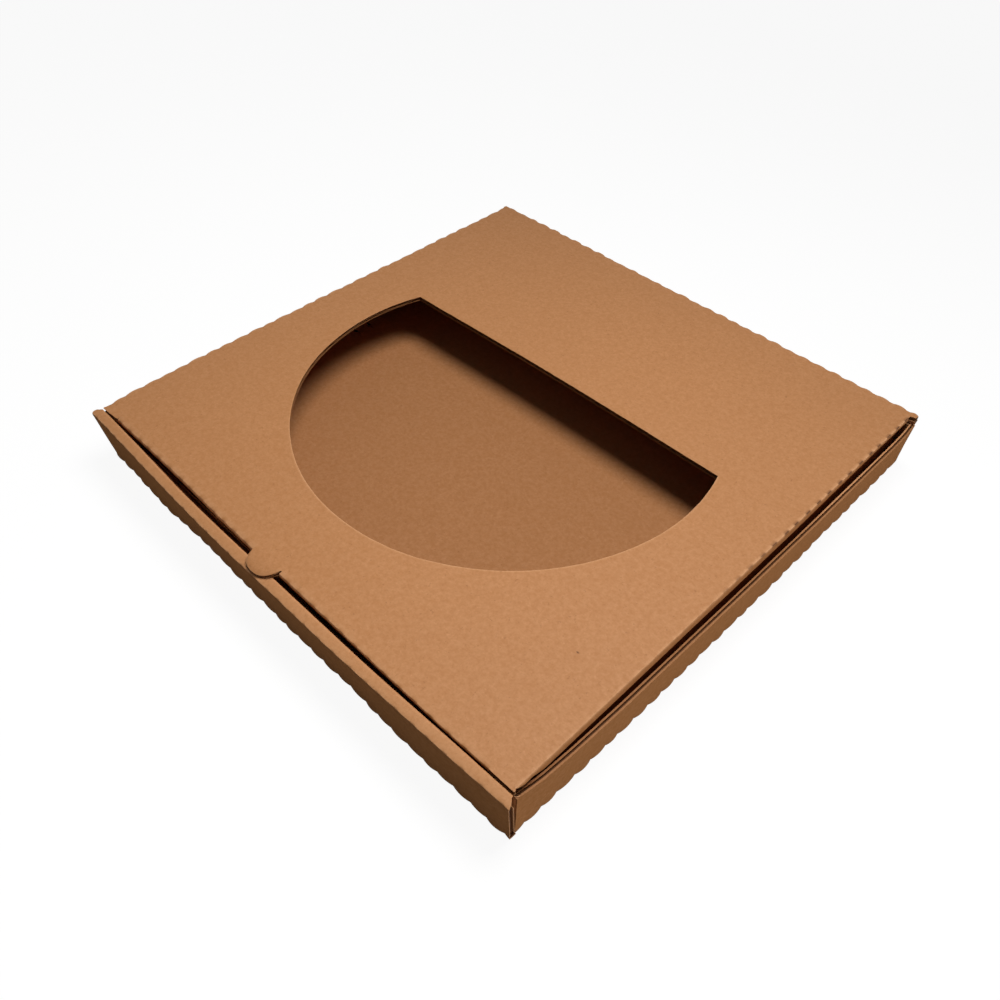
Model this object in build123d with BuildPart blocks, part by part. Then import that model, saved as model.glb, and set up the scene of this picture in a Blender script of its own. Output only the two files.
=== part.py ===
"""A windowed pizza box: one corrugated blank folded into a tray, with a lid that turns on its back wall.

X runs along the front wall, +Y towards the lid's hinge and +Z up. The origin is the middle of the floor's underside.
"""
import os
from math import cos, radians, sin

from build123d import *

# Board and box
board = 3.0
tray_width = 333.0
tray_depth = 334.5
box_height = 38.0
rest_gap = 0.3
crease_radius = 2.0
cut_overrun = 5.0

# Side walls, which lean out and bow, and their corner tabs
side_wall_drop = 4.5
side_lean_front = 1.0
side_lean_middle = 4.8
side_lean_back = 4.0
corner_tab_length = 62.0
corner_tab_taper = 14.0
front_tab_height = 12.0
front_tab_root = 4.5

# Back wall, whose top edge is the lid's hinge
hinge_width = 337.0

# Front wall, rolled over into a double wall and locked into the floor
front_wall_width = 336.0
ridge_drop = 4.0
front_lean = 3.95
front_bow = 3.4
strip_width = 6.4
strip_rise = 0.6
foot_inset = 14.0
inner_panel_clearance = 1.0
lock_tab_width = 46.0
lock_tab_pitch = 190.0
lock_slot_width = 6.5
lock_slot_play = 0.6

# Lid panel
lid_width = 330.0
lid_depth = 331.6
hinge_ear = 2.2

# Lid flaps
side_flap_depth = 27.0
side_flap_lean = 6.0
side_flap_taper = 12.0
side_flap_front_inset = 10.75
side_flap_back_inset = 12.0
tuck_flap_root = 14.0
tuck_flap_depth = 25.0
tuck_flap_lean = 20.0
tuck_flap_inset = 14.0
tuck_flap_taper = 10.0
flap_corner_radius = 8.0

# Window, a circle cut off by a straight edge on the hinge side
window_radius = 125.0
window_offset_x = -4.5
window_offset_y = 2.75
window_chord_offset = 38.5

# Thumb tab, cut out of the tuck flap's root and left in the lid's plane
thumb_tab_width = 21.4
thumb_tab_reach = 8.2
thumb_tab_radius = 8.0
thumb_tab_offset_x = -6.0
thumb_tab_slit = 1.0

# Places that follow from the sizes above
half_width = tray_width / 2
half_depth = tray_depth / 2
side_top = box_height - side_wall_drop
ridge_z = box_height - ridge_drop
strip_z = ridge_z + strip_rise
foot_y = foot_inset - half_depth
tab_front_y = board + rest_gap - half_depth
tab_back_y = half_depth - board - rest_gap
tab_tip_x = half_width - corner_tab_length
front_tab_root_x = half_width - front_tab_root
hinge_radius = board / 2
hinge_y = half_depth - hinge_radius
hinge_z = box_height - hinge_radius
lid_underside = box_height - board
back_top = lid_underside - rest_gap
lid_front = half_depth - lid_depth
lid_middle_y = half_depth - lid_depth / 2
lid_half = lid_width / 2


def side_strip(lean_front, lean_middle, lean_back):
    """Level section of a side wall and its two corner tabs: one strip of board, bent at two upright creases."""
    front_corner = (half_width + lean_front, tab_front_y)
    back_corner = (half_width + lean_back, tab_back_y)
    with BuildSketch() as section:
        with BuildLine() as strip:
            Line((tab_tip_x, tab_front_y), front_corner)
            if lean_middle:
                ThreePointArc(front_corner, (half_width + lean_middle, 0), back_corner)
            else:
                Line(front_corner, back_corner)
            Line(back_corner, (tab_tip_x, tab_back_y))
            fillet(strip.vertices().sort_by(Axis.X)[-2:], radius=crease_radius)
            offset(amount=board, side=Side.LEFT)
        make_face()
    return section.sketch


def front_roll(bow):
    """Upright section of the front wall: outer panel, top strip and inner panel, as one strip of board."""
    ridge_y = -half_depth - front_lean - bow
    strip_y = ridge_y + strip_width
    foot_run = (foot_y - strip_y) / (strip_z - board)
    with BuildSketch() as section:
        with BuildLine():
            FilletPolyline(
                (-half_depth, crease_radius),
                (ridge_y, ridge_z),
                (strip_y, strip_z),
                (foot_y + foot_run * (board + cut_overrun), -cut_overrun),
                radius=crease_radius,
            )
            offset(amount=board, side=Side.LEFT)
        make_face()
    return section.sketch


# Floor, with the slots for the front wall's lock tabs
with BuildPart() as floor:
    with BuildSketch():
        Rectangle(tray_width, tray_depth)
    extrude(amount=board)
    fillet(floor.faces().sort_by(Axis.Z)[0].edges(), radius=crease_radius)
    with BuildSketch(Plane.XY.offset(-cut_overrun)):
        with Locations((0, foot_y - board / 2)):
            with GridLocations(lock_tab_pitch, 0, 2, 1):
                Rectangle(lock_tab_width + 2 * lock_slot_play, lock_slot_width)
    extrude(amount=board + 2 * cut_overrun, mode=Mode.SUBTRACT)

# Right side wall with its corner tabs
with BuildPart() as side_wall:
    with BuildSketch(Plane.XY.offset(crease_radius)):
        add(side_strip(0, 0, 0))
    with BuildSketch(Plane.XY.offset(side_top)):
        add(side_strip(side_lean_front, side_lean_middle, side_lean_back))
    loft(ruled=True)
    # The front tab is low beyond its root, so that the rolled wall closes over it
    with BuildSketch(Plane.XZ.offset(-tab_front_y - board / 2)):
        with BuildLine():
            Polyline(
                (front_tab_root_x, side_top + cut_overrun),
                (front_tab_root_x, front_tab_height),
                (tab_tip_x + corner_tab_taper, front_tab_height),
                (tab_tip_x, board + rest_gap),
                (tab_tip_x, -cut_overrun),
                (tab_tip_x - cut_overrun, -cut_overrun),
                (tab_tip_x - cut_overrun, side_top + cut_overrun),
                close=True,
            )
        make_face()
    extrude(amount=board, both=True, mode=Mode.SUBTRACT)
    # The back tab is tapered at its tip
    with BuildSketch(Plane.XZ.offset(-tab_back_y + board / 2)):
        with BuildLine():
            Polyline(
                (tab_tip_x + corner_tab_taper, side_top + cut_overrun),
                (tab_tip_x + corner_tab_taper, side_top),
                (tab_tip_x, board + rest_gap),
                (tab_tip_x - cut_overrun, board + rest_gap),
                (tab_tip_x - cut_overrun, side_top + cut_overrun),
                close=True,
            )
        make_face()
    extrude(amount=board, both=True, mode=Mode.SUBTRACT)
    # Both tabs stand on the floor without being part of it
    with BuildSketch(Plane.XY):
        with Locations((tab_tip_x, 0)):
            Rectangle(half_width - board - tab_tip_x, tray_depth, align=(Align.MIN, Align.CENTER))
    extrude(amount=board + rest_gap, mode=Mode.SUBTRACT)

# Front wall: the board goes up, over and down again, and bows out between its ends
with BuildPart() as front_wall:
    for end_share, bow in ((-1, 0), (0, front_bow), (1, 0)):
        with BuildSketch(Plane.YZ.offset(end_share * front_wall_width / 2)):
            add(front_roll(bow))
    loft()
    # The inner panel ends between the side walls
    inner_end_x = front_tab_root_x - inner_panel_clearance
    with BuildSketch(Plane.XY.offset(-cut_overrun)):
        with GridLocations(2 * inner_end_x + front_wall_width, 0, 2, 1):
            with Locations((0, tab_front_y - rest_gap / 2)):
                Rectangle(front_wall_width, foot_inset + cut_overrun, align=(Align.CENTER, Align.MIN))
    extrude(amount=box_height + cut_overrun, mode=Mode.SUBTRACT)
    # Its foot stands on the floor between two lock tabs that go down into the slots
    with BuildSketch(Plane.XY.offset(rest_gap)):
        with Locations((0, tab_front_y + rest_gap)):
            Rectangle(front_wall_width, foot_inset + cut_overrun, align=(Align.CENTER, Align.MIN))
    extrude(amount=-2 * cut_overrun, mode=Mode.SUBTRACT)
    with BuildSketch(Plane.XY.offset(board + rest_gap)):
        with Locations((0, tab_front_y + rest_gap)):
            Rectangle(front_wall_width, foot_inset + cut_overrun, align=(Align.CENTER, Align.MIN))
            with GridLocations(lock_tab_pitch, 0, 2, 1):
                Rectangle(
                    lock_tab_width, foot_inset + cut_overrun, align=(Align.CENTER, Align.MIN), mode=Mode.SUBTRACT
                )
    extrude(amount=-board - cut_overrun, mode=Mode.SUBTRACT)

# Back wall, a little wider at the hinge than at the floor
with BuildPart() as back_wall:
    with BuildSketch(Plane.XZ.offset(-half_depth)):
        with BuildLine():
            Polyline(
                (-half_width, crease_radius),
                (half_width, crease_radius),
                (hinge_width / 2, back_top),
                (-hinge_width / 2, back_top),
                close=True,
            )
        make_face()
    extrude(amount=board)

with BuildPart() as tray:
    add(floor.part)
    add(side_wall.part)
    mirror(side_wall.part, about=Plane.YZ)
    add(front_wall.part)
    add(back_wall.part)

# Lid's side flaps: a channel of board, cut to the flaps' outline
with BuildPart() as side_flaps:
    flap_x = lid_half - side_flap_depth * sin(radians(side_flap_lean))
    flap_z = box_height - side_flap_depth * cos(radians(side_flap_lean))
    with BuildSketch(Plane.XZ):
        with BuildLine():
            FilletPolyline(
                (-flap_x, flap_z), (-lid_half, box_height), (lid_half, box_height), (flap_x, flap_z),
                radius=crease_radius,
            )
            offset(amount=board, side=Side.RIGHT)
        make_face()
    extrude(amount=tray_depth, both=True)
    flap_front = lid_front + side_flap_front_inset
    flap_back = half_depth - side_flap_back_inset
    with BuildSketch(Plane.YZ) as outline:
        with BuildLine():
            Polyline(
                (flap_front, box_height),
                (flap_front, lid_underside),
                (flap_front + side_flap_taper, flap_z),
                (flap_back - side_flap_taper, flap_z),
                (flap_back, lid_underside),
                (flap_back, box_height),
                close=True,
            )
        make_face()
        fillet(outline.vertices().group_by(Axis.Y)[0], radius=flap_corner_radius)
    extrude(amount=tray_width, both=True, mode=Mode.INTERSECT)

# Lid's tuck flap, with the notch that the thumb tab leaves at its root
with BuildPart() as tuck_flap:
    tuck_y = lid_front + tuck_flap_depth * sin(radians(tuck_flap_lean))
    tuck_z = box_height - tuck_flap_depth * cos(radians(tuck_flap_lean))
    tuck_half = lid_half - tuck_flap_inset
    with BuildSketch(Plane.YZ):
        with BuildLine():
            FilletPolyline(
                (lid_front + tuck_flap_root, box_height), (lid_front, box_height), (tuck_y, tuck_z),
                radius=crease_radius,
            )
            offset(amount=board, side=Side.LEFT)
        make_face()
    extrude(amount=tray_width, both=True)
    with BuildSketch(Plane.XZ) as outline:
        with BuildLine():
            Polyline(
                (-tuck_half, box_height),
                (-tuck_half, lid_underside),
                (tuck_flap_taper - tuck_half, tuck_z - board),
                (tuck_half - tuck_flap_taper, tuck_z - board),
                (tuck_half, lid_underside),
                (tuck_half, box_height),
                close=True,
            )
        make_face()
        fillet(outline.vertices().group_by(Axis.Y)[0], radius=flap_corner_radius)
    extrude(amount=tray_depth, both=True, mode=Mode.INTERSECT)
    with BuildSketch(Plane.XZ.offset(-lid_front - tuck_flap_root)):
        with Locations((thumb_tab_offset_x, box_height)):
            Rectangle(thumb_tab_width + 2 * thumb_tab_slit, 2 * thumb_tab_reach)
    extrude(amount=2 * tuck_flap_root, mode=Mode.SUBTRACT)

with BuildPart() as lid:
    with BuildSketch(Plane.XY.offset(lid_underside)):
        with BuildLine():
            Polyline(
                (-lid_half, lid_front),
                (lid_half, lid_front),
                (lid_half, hinge_y - hinge_ear),
                (hinge_width / 2, hinge_y - hinge_radius),
                (hinge_width / 2, hinge_y),
                (-hinge_width / 2, hinge_y),
                (-hinge_width / 2, hinge_y - hinge_radius),
                (-lid_half, hinge_y - hinge_ear),
                close=True,
            )
        make_face()
    extrude(amount=board)
    creases = lid.faces().sort_by(Axis.Z)[-1].edges().filter_by(lambda edge: edge.length > lid_depth / 2)
    fillet(creases.sort_by(Axis.Y)[:3], radius=crease_radius)
    # The hinge edge is round about the axis that the lid turns on
    with BuildSketch(Plane.YZ.offset(-hinge_width / 2)):
        with Locations((hinge_y, hinge_z)):
            Circle(hinge_radius)
    extrude(amount=hinge_width)
    add(side_flaps.part)
    add(tuck_flap.part)
    with BuildSketch(Plane.XY.offset(lid_underside)) as tongue:
        with Locations((thumb_tab_offset_x, lid_front - thumb_tab_reach)):
            Rectangle(thumb_tab_width, thumb_tab_reach + crease_radius, align=(Align.CENTER, Align.MIN))
        fillet(tongue.vertices().group_by(Axis.Y)[0], radius=thumb_tab_radius)
    extrude(amount=board)
    with BuildSketch(Plane.XY.offset(lid_underside)):
        with Locations((window_offset_x, lid_middle_y + window_offset_y)):
            Circle(window_radius)
            with Locations((0, window_chord_offset)):
                Rectangle(
                    2 * window_radius, window_radius, align=(Align.CENTER, Align.MIN), mode=Mode.SUBTRACT
                )
    extrude(amount=board, mode=Mode.SUBTRACT)

tray.part.label = "tray"
lid.part.label = "lid"
os.makedirs("parts", exist_ok=True)
export_step(tray.part, "parts/tray.step")
export_step(lid.part, "parts/lid.step")
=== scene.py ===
"""Looks of the windowed pizza box: kraft board with scalloped folds, open cut edges and soft studio light."""

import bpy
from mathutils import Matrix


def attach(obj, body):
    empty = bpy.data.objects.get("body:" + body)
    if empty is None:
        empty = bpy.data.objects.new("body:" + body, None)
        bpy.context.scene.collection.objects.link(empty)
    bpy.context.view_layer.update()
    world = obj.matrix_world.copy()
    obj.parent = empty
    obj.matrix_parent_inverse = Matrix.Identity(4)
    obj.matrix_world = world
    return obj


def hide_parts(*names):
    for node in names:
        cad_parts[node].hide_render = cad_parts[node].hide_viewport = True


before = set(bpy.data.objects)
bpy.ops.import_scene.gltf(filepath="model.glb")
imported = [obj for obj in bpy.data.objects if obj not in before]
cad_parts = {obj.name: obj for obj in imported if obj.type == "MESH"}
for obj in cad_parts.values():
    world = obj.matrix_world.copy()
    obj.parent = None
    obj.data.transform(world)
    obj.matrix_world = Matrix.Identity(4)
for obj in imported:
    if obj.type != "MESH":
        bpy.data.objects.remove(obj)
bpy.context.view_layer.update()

import math

import bmesh
import bpy
import numpy as np
from mathutils import Matrix, Vector, geometry

# Board and folds: sizes in mm, and MM turns them into metres
MM = 0.001
BOARD = 3.0
FLUTE = 8.0  # pitch of the fluted paper
PITCH = 10.5  # pitch of the bulges along a perforated fold
STEP = 0.65  # spacing of the points along a fold
SEAM = 4.0  # from a fold's line to the flat panel beside it

# Cut edges: shares of the board's thickness, how far the fluted paper stays back, and the painted shade in the
# hollow
LINER = 0.11
HAIR = 0.004
WAVE_SWING = 0.34
RIBBON_HALF = 0.05
RIBBON_BACK = 0.15
HOLLOW_SHADE = 0.9

# Clean-up of the meshes, in metres and degrees
WELD = 2e-6
SLIVER = 1e-6
SHARP_ANGLE = 38

# Material slots of both pieces: outer face, cut edge, inner face and outer wall
FACE, EDGE, INSIDE, WALL = range(4)

# Lid
LID_TOP = 38.0
LID_LOW = LID_TOP - BOARD
LID_RIGHT = 165.0
HINGE_Y, HINGE_Z = 165.75, 36.5
HINGE_LEFT, HINGE_RIGHT = -166.4, 168.3
HINGE_SEAM = HINGE_Y - 2.5
FLAP_FRONT, FLAP_BACK = -163.2, 161.0
TUCK_HALF = 151.0
TAB_LEFT, TAB_RIGHT = -16.1, 5.2
NICK_RIGHT = TAB_RIGHT + 0.9
TAB_ROOT = 1.2
SPECK = (138.7, -96.2, 1.15)  # x, y and size
SPOT_FLAT = 0.6  # a spot's depth over its width

# Tray
FLOOR = BOARD
FOOT_HALF = 166.5
LEAN_LOW, LEAN_HIGH = 2.0, 33.5  # heights between which a side wall's lean is measured
SIDE_FRONT, SIDE_BACK = -164.45, 163.9
CROSS_HALF = 168.0  # half of the front and back walls' nominal length
BACK_Y = 167.25
LOCK_MIDDLES = (-95.0, 95.0)
LOCK_HALF = 23.0
LOCK_Y = -153.25
SLOT_HALF = 23.6
SLOT_FRONT, SLOT_BACK = -156.6, -152.8


class Board:
    """Faces of one sheet of board, in mm, with values at each point for paleness (worn paper and painted
    highlight), for painted shade and specks, and for the flutes.
    """

    def __init__(self):
        self.points, self.values, self.faces, self.mats = [], [], [], []
        self.count = 0

    def put(self, points, wear_and_highlight=0.0, shade_and_speck=0.0, flute=None):
        """Adds points and returns the index of the first; flute is their x unless it is given."""
        points = np.asarray(points, float).reshape(-1, 3)
        n = len(points)
        columns = (wear_and_highlight, shade_and_speck, points[:, 0] if flute is None else flute)
        columns = [np.broadcast_to(np.asarray(v, float).reshape(-1), (n,)) for v in columns]
        self.points.append(points)
        self.values.append(np.stack(columns, 1))
        start = self.count
        self.count += n
        return start

    def grid(self, points, wear_and_highlight=0.0, shade_and_speck=0.0, flute=None, mat=FACE, flip=False, closed=False):
        """Quads over points[n, m]; the paleness, shade-and-speck and flute values are numbers or arrays of the
        same shape.
        """
        points = np.asarray(points, float)
        n, m = points.shape[:2]
        wear_and_highlight = np.broadcast_to(wear_and_highlight, (n, m))
        shade_and_speck = np.broadcast_to(shade_and_speck, (n, m))
        flute = points[:, :, 0] if flute is None else np.broadcast_to(flute, (n, m))
        s = self.put(points, wear_and_highlight, shade_and_speck, flute)
        for i in range(n if closed else n - 1):
            a, b = s + i * m, s + (i + 1) % n * m
            for j in range(m - 1):
                quad = (a + j, b + j, b + j + 1, a + j + 1)
                self.faces.append(quad[::-1] if flip else quad)
                self.mats.append(mat)

    def fill(self, loops, z, spacing, up=True, mat=FACE, spots=()):
        """A level face inside the first loop and outside the others, with inner points on a grid. spots are
        (x, y, size) of small specks on the paper."""
        coords, edges = [], []
        for loop in loops:
            base = len(coords)
            coords += [Vector(p) for p in loop]
            edges += [(base + i, base + (i + 1) % len(loop)) for i in range(len(loop))]
        low, high = np.min(loops[0], 0), np.max(loops[0], 0)
        gx = np.arange(low[0] + spacing / 2, high[0], spacing)
        gy = np.arange(low[1] + spacing / 2, high[1], spacing)
        inner = np.stack(np.meshgrid(gx, gy), -1).reshape(-1, 2)
        keep = between(inner, loops)
        # Points too near a loop would make slivers
        for loop in loops:
            away = inner[:, None, :] - np.asarray(loop)[None, ::4, :]
            keep &= np.min(np.linalg.norm(away, axis=2), axis=1) > spacing * 0.6
        coords += [Vector(p) for p in inner[keep]]
        for x, y, size in spots:
            coords.append(Vector((x, y)))
            for k in (0.5, 1.0):
                for a in np.linspace(0, 2 * math.pi, 9)[:-1]:
                    at = (x + k * size * math.cos(a), y + SPOT_FLAT * k * size * math.sin(a))
                    coords.append(Vector(at))
        verts, _, faces, _, _, _ = geometry.delaunay_2d_cdt(coords, edges, [], 0, 1e-6)
        flat = np.array([(v.x, v.y) for v in verts])
        tris = np.array([f[:] for f in faces])
        ok = between(flat[tris].mean(1), loops)
        points = np.column_stack([flat, np.full(len(flat), z)])
        shade_and_speck = np.zeros(len(flat))
        for x, y, size in spots:
            off = np.hypot(flat[:, 0] - x, (flat[:, 1] - y) / SPOT_FLAT)
            shade_and_speck = np.maximum(shade_and_speck, np.clip(1.0 - off / size, 0, 1))
        s = self.put(points, shade_and_speck=shade_and_speck)
        for t in tris[ok]:
            self.faces.append(tuple(int(s + k) for k in (t if up else t[::-1])))
            self.mats.append(mat)

    def cut(self, a, b, inward, flute=None, depth=1.2, closed=False, waves=None, liner=LINER,
            pale=(0.8, 0.8), ribbon_wear=0.4, ribbon_shade=0.25, shade=(0.0, 0.0)):
        """The raw edge of the board between its two liners' edges a and b: two liners, a hollow in painted
        shade and, with waves, the fluted paper seen end on. inward points into the board. pale is how pale the
        two liners are, partly as painted highlight, and shade is their painted shade. The edge stays a hair off
        the faces, so that its paleness doesn't run into them."""
        a, b = np.asarray(a, float), np.asarray(b, float)
        inward = np.broadcast_to(np.asarray(inward, float), a.shape)
        t = b - a
        points = np.stack([a + HAIR * t, a + liner * t, a + liner * t + depth * inward,
                           b - liner * t + depth * inward, b - liner * t, b - HAIR * t], 1)
        wear_and_highlight = np.zeros(points.shape[:2])
        wear_and_highlight[:, 0] = wear_and_highlight[:, 1] = pale[0]
        wear_and_highlight[:, 4] = wear_and_highlight[:, 5] = pale[1]
        shade_and_speck = np.full(points.shape[:2], HOLLOW_SHADE)
        shade_and_speck[:, 0] = shade_and_speck[:, 1] = shade[0]
        shade_and_speck[:, 4] = shade_and_speck[:, 5] = shade[1]
        if flute is not None:
            flute = np.repeat(np.asarray(flute, float).reshape(-1, 1), 6, 1)
        self.grid(points, wear_and_highlight, shade_and_speck, flute, mat=EDGE, closed=closed)
        if waves is not None:
            c = 0.5 + WAVE_SWING * np.sin(2 * math.pi * np.asarray(waves, float) / FLUTE)[:, None]
            lo, hi = a + (c - RIBBON_HALF) * t, a + (c + RIBBON_HALF) * t
            rim = RIBBON_BACK * inward
            ribbon = np.stack([lo + depth * inward, lo + rim, hi + rim, hi + depth * inward], 1)
            self.grid(ribbon, ribbon_wear, ribbon_shade, mat=EDGE, closed=closed)

    def sheet(self, outer, inner, wear_and_highlight=0.0, shade_and_speck=0.0, flute=None, ends=(True, True), last=True,
              first=False, last_waves=None, mat=FACE, split=0):
        """A bent strip of board: outer[n, m] and inner[n, m] are its two faces, n along the fold. The outer
        face has the slot FACE as far as row split, and mat beyond it. ends, last and first say which of its
        four edges are cut."""
        def part_of(index):
            return None if flute is None else flute[index]

        wear_and_highlight, shade_and_speck = (np.broadcast_to(v, outer.shape[:2]) for v in (wear_and_highlight, shade_and_speck))
        for part, slot in ((np.s_[:, :split + 1], FACE), (np.s_[:, split:], mat)):
            if outer[part].shape[1] > 1:
                self.grid(outer[part], wear_and_highlight[part], shade_and_speck[part], part_of(part), mat=slot)
        self.grid(inner, 0.0, 0.0, flute, flip=True, mat=INSIDE)
        for wanted, edge, next_row, waves in (
                (ends[0], np.s_[0], np.s_[1], None), (ends[1], np.s_[-1], np.s_[-2], None),
                (last, np.s_[:, -1], np.s_[:, -2], last_waves), (first, np.s_[:, 0], np.s_[:, 1], None)):
            if wanted:
                self.cut(outer[edge], inner[edge], unit(outer[next_row] - outer[edge]), flute=part_of(edge),
                         waves=waves)

    def object(self, name, materials):
        """The faces as one welded mesh, with the values as attributes."""
        points = np.concatenate(self.points) * MM
        values = np.concatenate(self.values)
        mesh = bpy.data.meshes.new(name)
        mesh.from_pydata(points.tolist(), [], self.faces)
        for k, key in enumerate(("wear_and_highlight", "shade_and_speck", "flute")):
            layer = mesh.attributes.new(key, "FLOAT", "POINT")
            layer.data.foreach_set("value", values[:, k].astype(np.float32))
        for m in materials:
            mesh.materials.append(m)
        mesh.polygons.foreach_set("material_index", np.array(self.mats, np.int32))
        bm = bmesh.new()
        bm.from_mesh(mesh)
        bmesh.ops.remove_doubles(bm, verts=bm.verts, dist=WELD)
        bmesh.ops.dissolve_degenerate(bm, edges=bm.edges, dist=SLIVER)
        bmesh.ops.recalc_face_normals(bm, faces=bm.faces)
        bm.to_mesh(mesh)
        bm.free()
        mesh.shade_smooth()
        mesh.set_sharp_from_angle(angle=math.radians(SHARP_ANGLE))
        obj = bpy.data.objects.new(name, mesh)
        bpy.context.scene.collection.objects.link(obj)
        return obj


def unit(d):
    """Vectors of length 1."""
    return d / np.maximum(np.linalg.norm(d, axis=-1, keepdims=True), 1e-9)


def inside(points, loop):
    """Which points lie inside a closed loop."""
    points, loop = np.asarray(points, float), np.asarray(loop, float)
    a, b = loop, np.roll(loop, -1, 0)
    x, y = points[:, 0][:, None], points[:, 1][:, None]
    crosses = (a[None, :, 1] > y) != (b[None, :, 1] > y)
    run = b - a
    with np.errstate(divide="ignore", invalid="ignore"):
        at = run[None, :, 0] * (y - a[None, :, 1]) / run[None, :, 1] + a[None, :, 0]
    return (np.sum(crosses & (x < at), axis=1) % 2).astype(bool)


def between(points, loops):
    """Which points lie inside the first loop and outside the others."""
    ok = inside(points, loops[0])
    for loop in loops[1:]:
        ok &= ~inside(points, loop)
    return ok


def at_height(plan, z):
    """Points of a plan, all at one height."""
    return np.column_stack([plan, np.full(len(plan), z)])


def stations(lo, hi, step=STEP):
    """Numbers from lo to hi, evenly spaced by about step."""
    return np.linspace(lo, hi, int(round(abs(hi - lo) / step)) + 1)


def scallop(t, pitch, seed):
    """Bulges of a perforated fold along t: their height, 0 in the nicks to about 1 between them, and how
    deep t lies in a nick, 1 there and 0 on the bulge."""
    r = np.random.default_rng(seed)
    n = int(math.ceil((t.max() - t.min()) / pitch)) + 3
    knots = t.min() - pitch * r.uniform(0.2, 0.8)
    knots = knots + pitch * (np.arange(n + 1) + r.uniform(-0.13, 0.13, n + 1))
    size = r.uniform(0.65, 1.15, n)
    k = np.clip(np.searchsorted(knots, t) - 1, 0, n - 1)
    u = np.clip((t - knots[k]) / (knots[k + 1] - knots[k]), 0, 1)
    height = size[k] * np.sin(math.pi * u) ** 0.7
    nick = np.clip((np.abs(u - 0.5) - 0.27) / 0.10, 0, 1)
    return height, nick


def drift(t, seed, length=60.0):
    """A slow seeded wave along t, about -1 to 1."""
    r = np.random.default_rng(seed)
    out = np.zeros_like(t, dtype=float)
    for k in range(1, 5):
        wave = np.sin(2 * math.pi * k * t / (length * 2.3) + r.uniform(0, 6.28))
        out += wave * r.uniform(0.4, 1.0) / k
    return out / 1.8


def smooth_line(points, n):
    """n points of a smooth curve through the given ones."""
    p = np.array([points[0], *points, points[-1]], float)
    out = []
    for s in np.linspace(0, len(points) - 1 - 1e-9, n):
        k, u = int(s), s - int(s)
        a, b, c, d = p[k:k + 4]
        out.append(tuple(0.5 * (2 * b + (c - a) * u + (2 * a - 5 * b + 4 * c - d) * u ** 2
                                + (3 * b - a - 3 * c + d) * u ** 3)))
    return out


def soft_interp(x, at, values, reach=12.0):
    """Values interpolated at x with the corners rounded over reach."""
    margin, samples = 40, 800
    fine = np.linspace(min(at) - margin, max(at) + margin, samples)
    k = max(1, int(reach / (fine[1] - fine[0])))
    line = np.interp(fine, at, values)
    window = np.ones(2 * k + 1) / (2 * k + 1)
    return np.interp(x, fine, np.convolve(np.pad(line, k, mode="edge"), window, mode="valid"))


def dense(points, step=0.7):
    """The same line with points at most step apart."""
    points = np.asarray(points, float)
    out = []
    for a, b in zip(points[:-1], points[1:]):
        n = max(1, int(math.ceil(np.hypot(*(b - a)) / step)))
        out += [tuple(a + (b - a) * k / n) for k in range(n)]
    return np.array(out + [tuple(points[-1])])


def left_of(line):
    """Level directions to the left of a line in plan, which point into a panel that it goes round."""
    d = unit(np.gradient(line, axis=0))
    return np.column_stack([-d[:, 1], d[:, 0], np.zeros(len(d))])


def rows(*columns):
    """Stacks x, y, z of each row into [station, row, 3]; each column is (x, y, z) of arrays or numbers."""
    n = max(np.size(v) for c in columns for v in c)

    def spread(v):
        return np.broadcast_to(np.asarray(v, float), (n,))

    return np.stack([np.stack([spread(v) for v in c], -1) for c in columns], 1)


# Kraft board

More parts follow.
